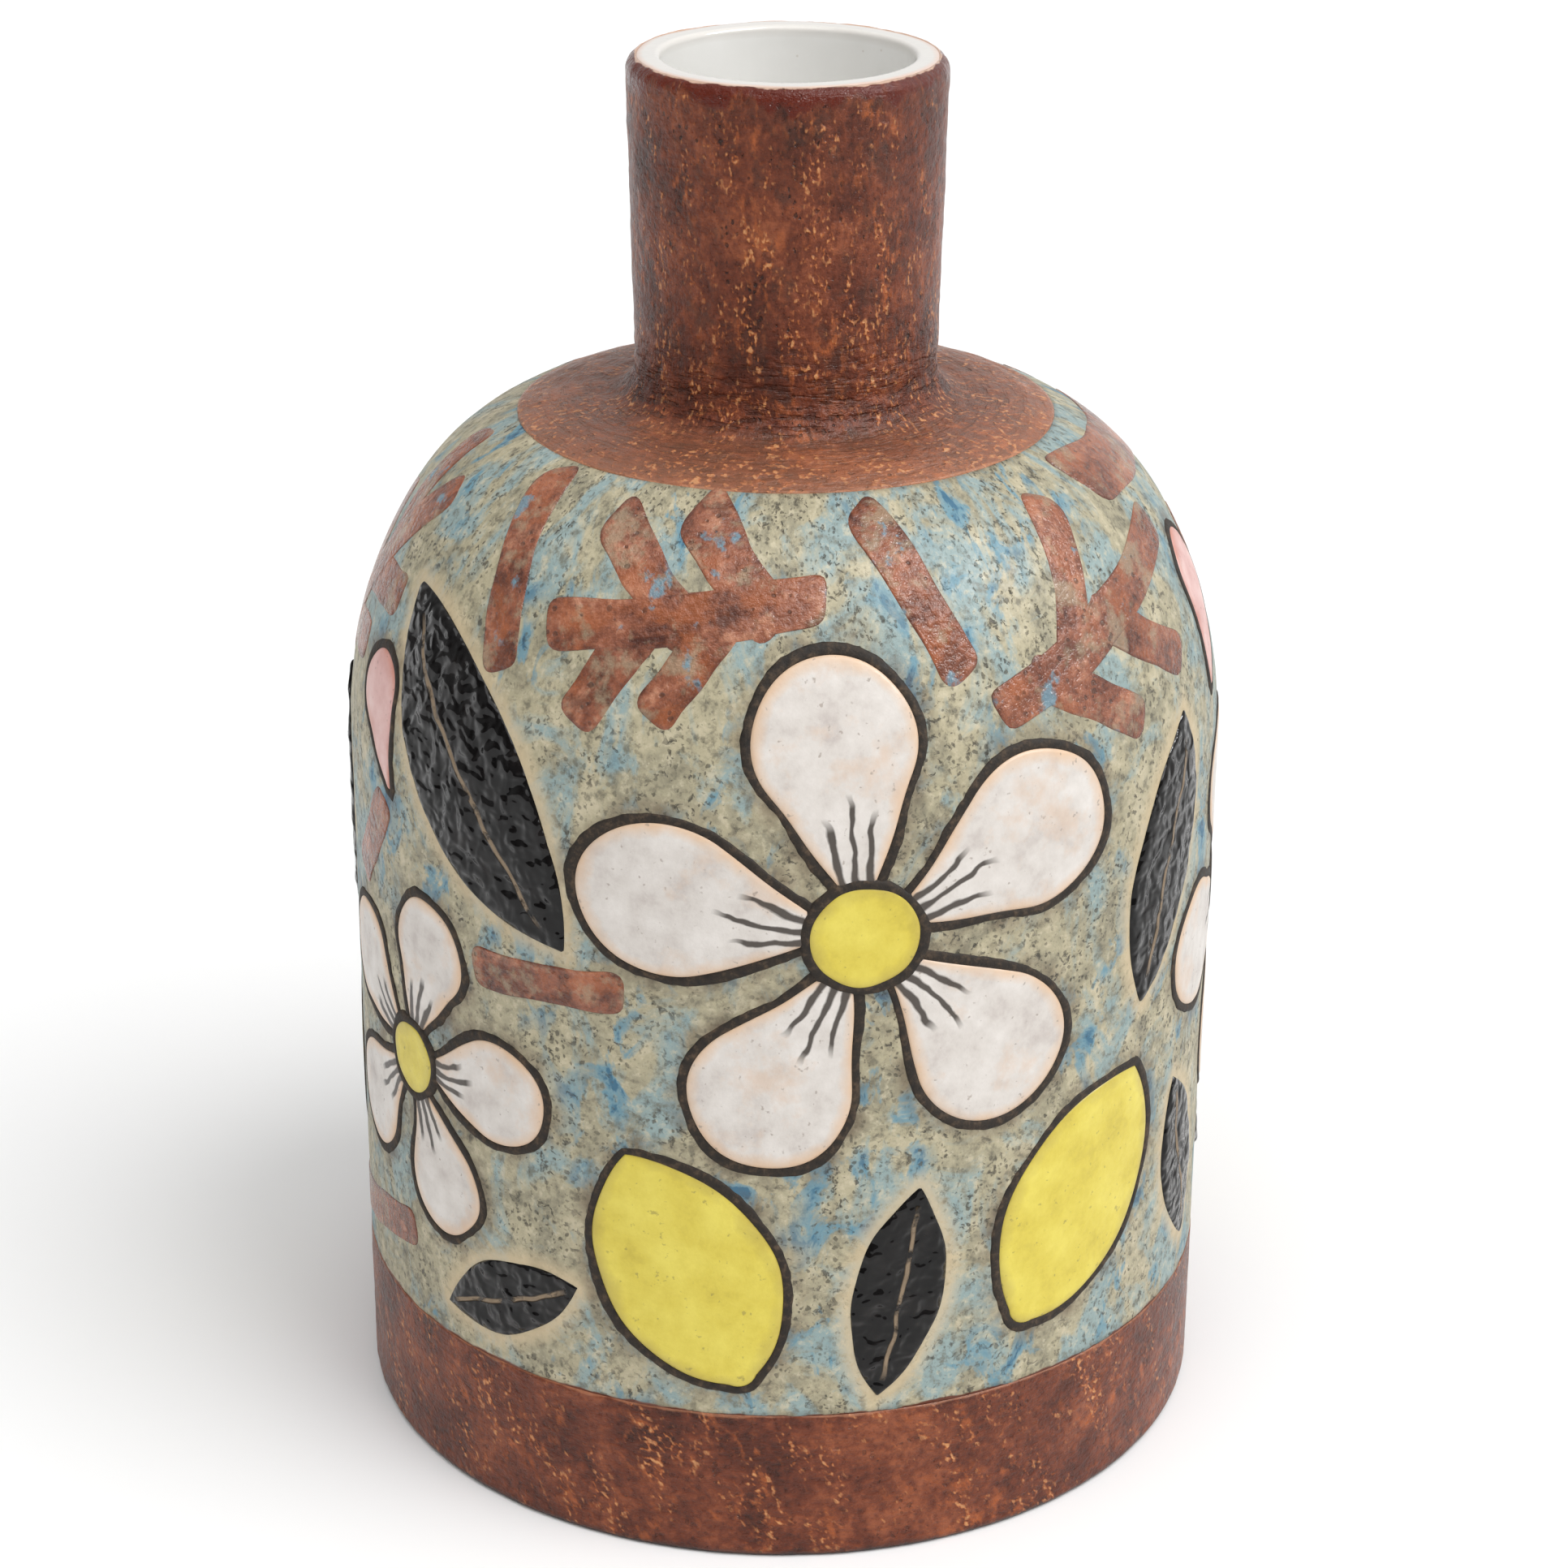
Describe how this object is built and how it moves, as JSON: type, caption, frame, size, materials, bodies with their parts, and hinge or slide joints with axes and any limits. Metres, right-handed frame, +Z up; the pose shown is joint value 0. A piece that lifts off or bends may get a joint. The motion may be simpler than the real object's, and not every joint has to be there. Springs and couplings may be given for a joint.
{
  "type": "ceramic vase",
  "caption": "Straight-walled ceramic vase with a domed shoulder and a tall open neck, rust glazed at neck and foot and painted with a lemon branch, for cut flowers.",
  "frame": {"origin": "centre of the standing face", "axes": "+Z up along the vase's axis to the mouth, -Y to the front of the painting, +X to the right seen from the front"},
  "size_m": [0.189, 0.189, 0.3],
  "materials": {
    "clay": "fired earthenware body, bare only under the foot",
    "luting_slip": "fired joining slip",
    "lining_white": "glossy off-white glaze",
    "rust_glaze": "satin rust-brown glaze, rough, flecked orange and dark",
    "ground_beige": "matt beige slip with dark pits and blue smears",
    "petal_white": "satin off-white glaze",
    "line_dark": "matt brown-black line",
    "lemon_yellow": "satin yellow glaze",
    "leaf_black": "thick glossy black glaze with lumps",
    "bud_pink": "satin pink glaze",
    "rust_brush": "brushed rust wash"
  },
  "bodies": {
    "root": {"base_slab": "clay", "body_wall": "clay", "shoulder": "clay", "neck": "clay", "base_luting": "luting_slip", "shoulder_luting": "luting_slip", "neck_luting": "luting_slip", "lining_glaze": "lining_white", "neck_glaze": "rust_glaze", "ground_slip": "ground_beige", "foot_glaze": "rust_glaze", "white_petals": "petal_white", "petal_lines": "line_dark", "blossom_centres": "lemon_yellow", "lemon_glaze": "lemon_yellow", "lemon_lines": "line_dark", "leaf_glaze": "leaf_black", "pink_buds": "bud_pink", "bud_lines": "line_dark", "rust_twigs": "rust_brush"}
  },
  "joints": []
}
